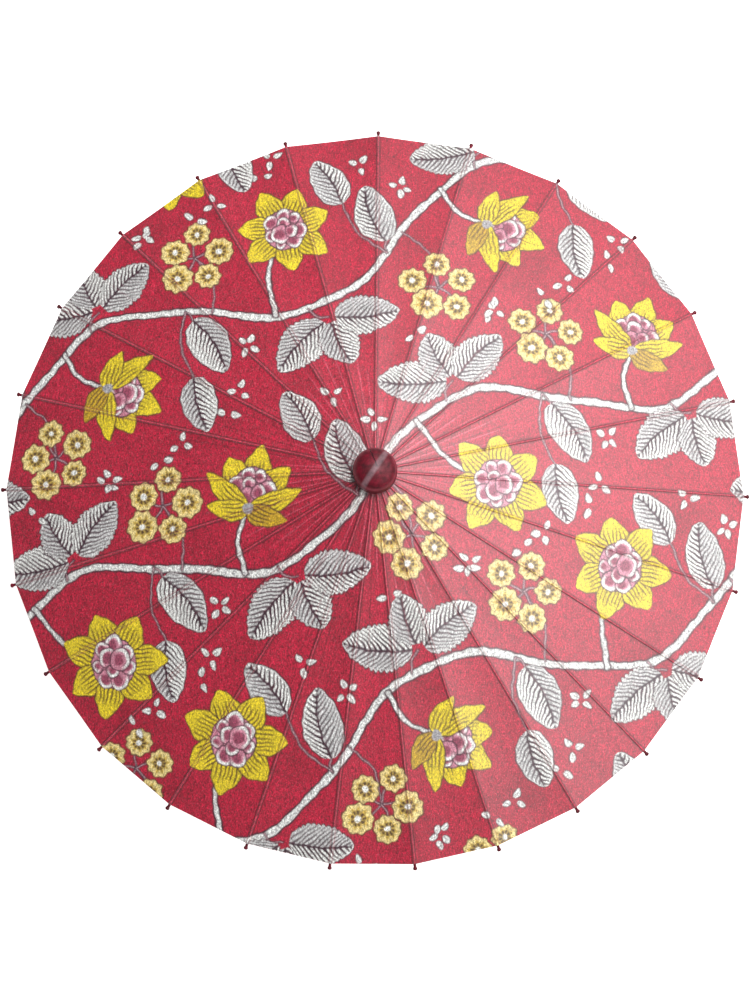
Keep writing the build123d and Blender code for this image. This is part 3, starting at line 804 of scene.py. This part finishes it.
# each half panel gets its ink, its painted fold shade and highlight and its two materials, and rides on its
# rib
for k, (i, side, top, low) in enumerate(paper_parts):
    points = np.vstack([top[0], low[0]])
    upper = faces_fine if side < 0 else faces_fine[:, ::-1]
    lower = faces_under[:, ::-1] if side < 0 else faces_under
    name = f"paper_{i + 1:02d}_{'a' if side < 0 else 'b'}"
    ob = mesh_object(name, points, np.vstack([upper, lower + len(top[0])]))
    # painted fold shade and highlight, weaker on the underside
    lines_top = fold_shade_and_highlight(top[0][:, 0], top[0][:, 1], top[1], top[2], top[3])
    lines_low = fold_shade_and_highlight(low[0][:, 0], low[0][:, 1], low[1], low[2], low[3]) * 0.6
    colours = np.vstack([pieces_ink[k], pieces_ink[len(paper_parts) + k]])
    dress(ob, points[:, :2], colours, np.concatenate([lines_top, lines_low]))
    ob.data.materials.append(PAPER_TOP)
    ob.data.materials.append(PAPER_UNDER)
    index = np.zeros(len(ob.data.polygons), np.int32)
    index[len(upper):] = 1
    ob.data.polygons.foreach_set("material_index", index)
    az = azimuths[i]
    t = Vector((-math.sin(az), math.cos(az), 0)) * side
    v = Vector((math.cos(LEAN) * math.cos(az), math.cos(LEAN) * math.sin(az), math.sin(LEAN)))
    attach(ob, f"rib_{i + 1:02d}")
    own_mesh(ob)
    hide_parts("canopy")

for i, (points, r, s) in enumerate(strip_parts):
    ob = mesh_object(f"paper_strip_{i + 1:02d}", points, strip_faces)
    # the strip's edges are darker where the paper is glued over the rib's edge and painted darker as shade;
    # its ridge is a painted highlight
    edge = soft(STRIP_HALF - 0.5 - np.abs(s), 0.35) - 0.4 * soft(np.abs(s) - 0.4, 0.3)
    dress(ob, points[:, :2], pieces_ink[2 * len(paper_parts) + i], edge)
    ob.data.materials.append(PAPER_TOP)
    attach(ob, f"rib_{i + 1:02d}")
    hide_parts("canopy")

# drops of lacquer that close the rib ends: a thin sleeve and a bead, on the rib's own line
TIP_START, TIP_LINE = 428.4, RIB_HALF - RIB_END_DROP - RIB_END_HALF
sleeve = [(0.0, 0.0), (0.0, 1.5), (0.6, 1.62), (5.2, 1.6), (6.2, 1.75)]
bead = [(7.0, 2.25), (8.0, 2.5), (8.9, 2.2), (9.5, 1.3), (9.7, 0.0)]
profile = sleeve + bead
for i in range(RIBS):
    az = azimuths[i]
    u = np.array([math.sin(LEAN) * math.cos(az), math.sin(LEAN) * math.sin(az), -math.cos(LEAN)])
    v = np.array([math.cos(LEAN) * math.cos(az), math.cos(LEAN) * math.sin(az), math.sin(LEAN)])
    t = np.cross(v, u)
    pivot = np.array([PIVOT_R * math.cos(az), PIVOT_R * math.sin(az), HEAD_Z])
    start = pivot + u * TIP_START + v * TIP_LINE
    points, ring = [], 16
    for along, radius in profile:
        for k in range(ring if radius else 1):
            a = 2 * math.pi * k / ring
            points.append(start + u * along + radius * (math.cos(a) * t + math.sin(a) * v))
    triangles = []
    for k in range(ring):
        after = (k + 1) % ring
        triangles.append((0, 1 + k, 1 + after))
        for row in range(len(profile) - 3):
            low, high = 1 + row * ring, 1 + (row + 1) * ring
            triangles += [(low + k, high + k, high + after), (low + k, high + after, low + after)]
        last = 1 + (len(profile) - 3) * ring
        triangles.append((last + k, len(points) - 1, last + after))
    ob = mesh_object(f"rib_tip_{i + 1:02d}", points, triangles)
    ob.data.materials.append(TIP)
    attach(ob, f"rib_{i + 1:02d}")

# ---------------------------------------------------------------- CAD nodes
SHAFT = wood("bamboo_shaft", rgba(120, 78, 34), rgba(176, 128, 66), rgba(206, 164, 98), 9.0, 420.0, coat=0.3)
TURNED = wood("turned_wood", rgba(150, 108, 62), rgba(196, 156, 104), rgba(220, 186, 136), 30.0, 300.0)
BAMBOO = split_bamboo("split_bamboo")
WIRE = wire("wire")
CAP = lacquer("lacquer_cap", True)
GRIP = lacquer("lacquer_handle", False)
BY_NAME = {"shaft": SHAFT, "catch": SHAFT, "handle": GRIP, "top_cap": CAP, "head": TURNED, "runner": TURNED}
for name, ob in frame["nodes"].items():
    if name == "canopy":
        material = PAPER_TOP
    else:
        others = WIRE if "wire" in name or "pin" in name else BAMBOO
        material = BY_NAME.get(name, others).material
    ob.data.materials.clear()
    ob.data.materials.append(material)

# ---------------------------------------------------------------- floor, light, camera
floor_mesh = bpy.data.meshes.new("floor")
FLOOR_HALF, FOOT_Z = 14.0, -0.048
corners = [(x * FLOOR_HALF, y * FLOOR_HALF, FOOT_Z) for x, y in ((-1, -1), (1, -1), (1, 1), (-1, 1))]
floor_mesh.from_pydata(corners, [], [(0, 1, 2, 3)])
floor = bpy.data.objects.new("floor", floor_mesh)
bpy.context.scene.collection.objects.link(floor)
k = Nodes("floor")
k.set("Base Color", (0.93, 0.93, 0.93, 1))
k.set("Roughness", 0.9)
k.set("Emission Color", (1, 1, 1, 1))
k.set("Emission Strength", 0.9)
floor.data.materials.append(k.material)

# a white studio: bright to the camera, dimmer as light, so that the lamps shape the paper
world = bpy.data.worlds.new("studio")
world.use_nodes = True
tree = world.node_tree
background = tree.nodes["Background"]
background.inputs[0].default_value = (1, 1, 1, 1)
seen = tree.nodes.new("ShaderNodeLightPath").outputs["Is Camera Ray"]
level = tree.nodes.new("ShaderNodeMapRange")
level.inputs[3].default_value, level.inputs[4].default_value = 0.12, 1.0
tree.links.new(seen, level.inputs[0])
tree.links.new(level.outputs[0], background.inputs[1])
bpy.context.scene.world = world


def area_light(name, place, target, size, power):
    light = bpy.data.lights.new(name, "AREA")
    light.shape = "DISK"
    light.size = size
    light.energy = power
    ob = bpy.data.objects.new(name, light)
    ob.location = place
    ob.rotation_euler = (Vector(target) - Vector(place)).to_track_quat("-Z", "Y").to_euler()
    bpy.context.scene.collection.objects.link(ob)


LIT = (0, 0, 0.35)
SIDE_LEAN, SIDE_FAR = math.radians(46), 3.1
area_light("overhead", (0.45, 0.6, 3.5), LIT, 0.6, 79)
for n, (turn, power) in enumerate(((-44, 20), (-8, 20), (28, 24), (66, 25))):
    a, out = math.radians(turn), SIDE_FAR * math.sin(SIDE_LEAN)
    place = (out * math.cos(a), out * math.sin(a), LIT[2] + SIDE_FAR * math.cos(SIDE_LEAN))
    area_light(f"side_{n + 1}", place, LIT, 1.5, power)

camera = bpy.data.cameras.new("camera")
camera.lens = 85
camera.sensor_fit = "VERTICAL"
camera.sensor_height = 36
camera.clip_end = 60
eye = bpy.data.objects.new("camera", camera)
aim = Vector((0, EYE_SHIFT * MM, RIM_Z * MM))
rise = math.radians(EYE_RISE)
distance = EYE_DISTANCE * MM
eye.location = aim + Vector((0, -math.cos(rise), math.sin(rise))) * distance
eye.rotation_euler = (aim - eye.location).to_track_quat("-Z", "Y").to_euler()
bpy.context.scene.collection.objects.link(eye)
bpy.context.scene.camera = eye
bpy.context.scene.view_settings.view_transform = "Standard"
